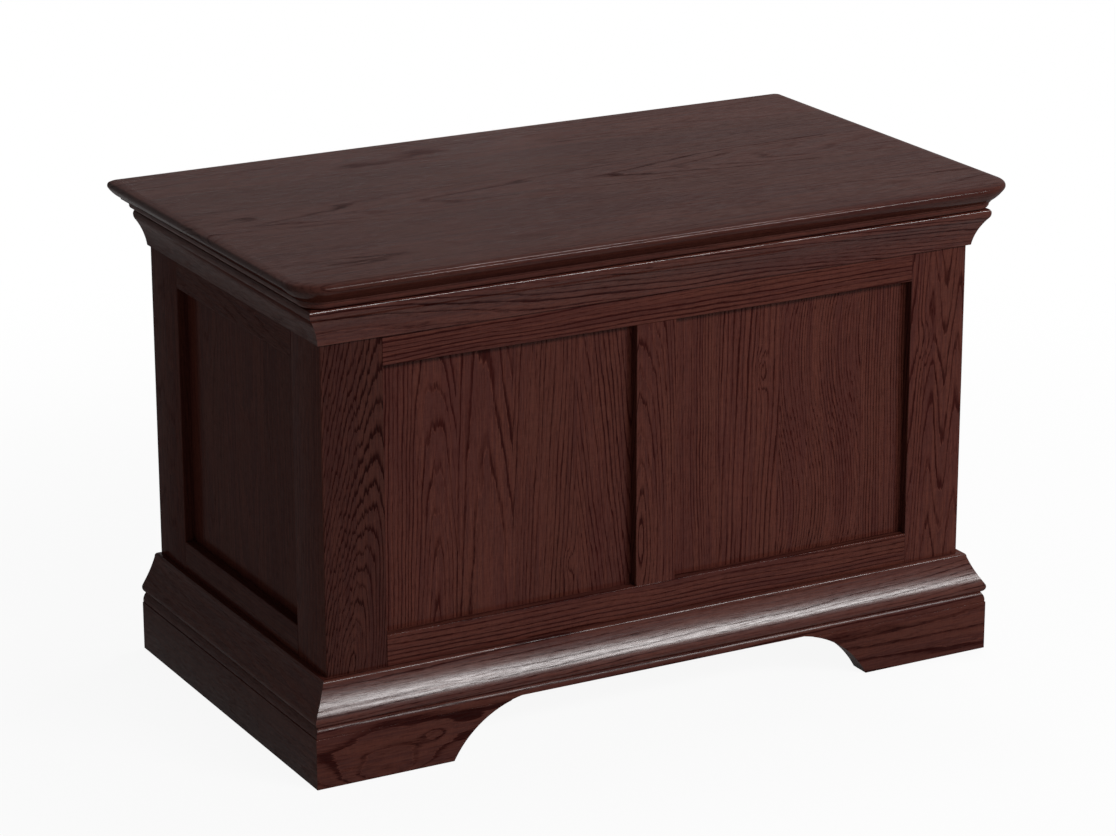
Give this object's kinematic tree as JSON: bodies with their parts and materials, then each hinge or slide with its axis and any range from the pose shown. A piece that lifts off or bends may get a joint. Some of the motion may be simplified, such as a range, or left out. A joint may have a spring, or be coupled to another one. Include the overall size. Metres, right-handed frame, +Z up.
{
  "type": "blanket chest",
  "caption": "Blanket chest with framed and panelled walls, mitred cornice and base moulding, bracket feet and a hinged moulded lid held open by a slotted stay.",
  "frame": {"origin": "on the floor, under the middle of the closed chest's overall length and depth", "axes": "+X along the chest's length to the right as seen from the front, +Y from the front to the back, +Z up"},
  "size_m": [0.9, 0.5134, 0.566],
  "materials": {
    "stained_oak": "dark red-brown stained oak under satin varnish",
    "plain_oak": "thinly stained oak of the floor, its cleats and the glue blocks",
    "brass": "lightly brushed brass of hinges, stay and screws",
    "buffers": "dull soft pads"
  },
  "bodies": {
    "case": {"back_bottom_rail": "stained_oak", "back_left_stile": "stained_oak", "back_panel": "stained_oak", "back_right_stile": "stained_oak", "back_top_rail": "stained_oak", "base_moulding_front": "stained_oak", "base_moulding_left": "stained_oak", "base_moulding_right": "stained_oak", "case_screws": "brass", "cornice_front": "stained_oak", "cornice_left": "stained_oak", "cornice_right": "stained_oak", "floor_cleat_back": "plain_oak", "floor_cleat_front": "plain_oak", "floor_panel": "plain_oak", "foot_block_back_left": "plain_oak", "foot_block_back_right": "plain_oak", "foot_block_front_left": "plain_oak", "foot_block_front_right": "plain_oak", "front_bottom_rail": "stained_oak", "front_left_panel": "stained_oak", "front_left_stile": "stained_oak", "front_muntin": "stained_oak", "front_right_panel": "stained_oak", "front_right_stile": "stained_oak", "front_top_rail": "stained_oak", "hinge_left_case_leaf": "brass", "hinge_left_pin": "brass", "hinge_right_case_leaf": "brass", "hinge_right_pin": "brass", "left_back_stile": "stained_oak", "left_bottom_rail": "stained_oak", "left_front_stile": "stained_oak", "left_panel": "stained_oak", "left_top_rail": "stained_oak", "lid_buffers": "buffers", "plinth_back": "stained_oak", "plinth_front": "stained_oak", "plinth_left": "stained_oak", "plinth_right": "stained_oak", "right_back_stile": "stained_oak", "right_bottom_rail": "stained_oak", "right_front_stile": "stained_oak", "right_panel": "stained_oak", "right_top_rail": "stained_oak", "stay_case_plate": "brass", "stay_stud": "brass"},
    "lid": {"hinge_left_lid_leaf": "brass", "hinge_right_lid_leaf": "brass", "lid_batten_left": "stained_oak", "lid_batten_right": "stained_oak", "lid_rim_back": "stained_oak", "lid_rim_front": "stained_oak", "lid_rim_left": "stained_oak", "lid_rim_right": "stained_oak", "lid_screws": "brass", "lid_top": "stained_oak", "stay_lid_bracket": "brass", "stay_rivet": "brass"},
    "stay": {"stay_arm": "brass"}
  },
  "joints": [
    {"name": "lid_hinge", "type": "hinge", "parent": "case", "child": "lid", "pos_m": [0, 0.24225, 0.5345], "axis": [-1, 0, 0], "range_deg": [0, 95]},
    {"name": "stay_pivot", "type": "hinge", "parent": "lid", "child": "stay", "pos_m": [0.3701, 0.11272, 0.5235], "axis": [-1, 0, 0], "range_deg": [-47.5, 0]}
  ],
  "couplings": [
    {"joint": "stay_pivot", "follows": "lid_hinge", "ratio": -0.5}
  ]
}
